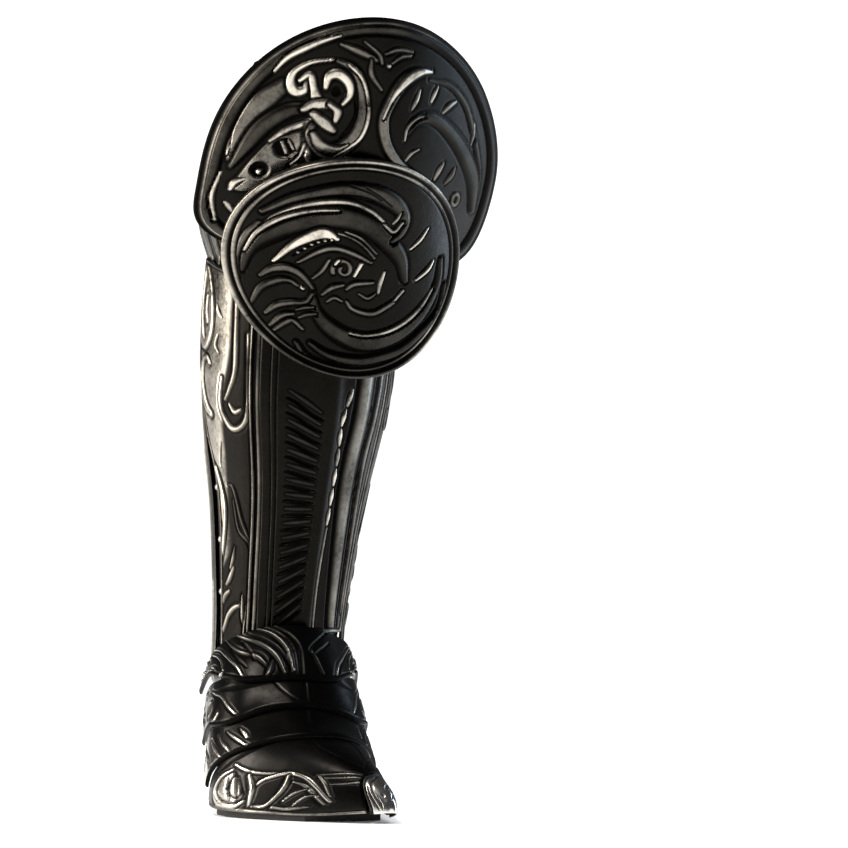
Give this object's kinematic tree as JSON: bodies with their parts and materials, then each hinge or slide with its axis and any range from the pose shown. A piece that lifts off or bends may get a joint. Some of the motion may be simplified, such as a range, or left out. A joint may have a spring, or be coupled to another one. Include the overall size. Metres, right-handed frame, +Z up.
{
  "type": "greave with knee guard and sabaton",
  "caption": "Armoured leg piece for a right leg: engraved shin, calf, knee and foot plates of blackened steel over a leather boot, with a tall fan-shaped knee guard",
  "frame": {"origin": "on the underside of the sole, straight below the ankle axis", "axes": "+X toward the inner side of the leg (the wearer's left), -Y toward the toes, +Z up the leg"},
  "size_m": [0.2752, 0.3604, 0.672],
  "materials": {
    "black_steel": "blackened steel with burnished engraving",
    "dark_steel": "dark satin steel",
    "bright_steel": "burnished grey steel with dark engraved lines",
    "black_leather": "black boot leather",
    "sole_rubber": "matt black sole"
  },
  "bodies": {
    "root": {"sole": "sole_rubber", "boot_vamp": "black_leather", "boot_quarter": "black_leather", "boot_shaft": "black_leather", "heel_counter": "dark_steel", "shin_plate": "black_steel", "calf_plate": "bright_steel", "knee_cop": "dark_steel", "knee_fan": "black_steel", "knee_disc": "black_steel", "fan_bracket": "dark_steel", "disc_bracket": "dark_steel", "instep_plate": "dark_steel", "lame_1": "dark_steel", "lame_2": "dark_steel", "toe_plate": "dark_steel", "toe_tip": "bright_steel", "side_plate_outer": "black_steel", "stud_outer_1": "bright_steel", "stud_outer_2": "bright_steel", "stud_outer_3": "bright_steel", "stud_outer_4": "bright_steel", "stud_outer_5": "bright_steel", "rivet_front_outer": "bright_steel", "rivet_rear_outer": "bright_steel", "side_plate_inner": "black_steel", "stud_inner_1": "bright_steel", "stud_inner_2": "bright_steel", "stud_inner_3": "bright_steel", "stud_inner_4": "bright_steel", "stud_inner_5": "bright_steel", "rivet_front_inner": "bright_steel", "rivet_rear_inner": "bright_steel"}
  },
  "joints": []
}
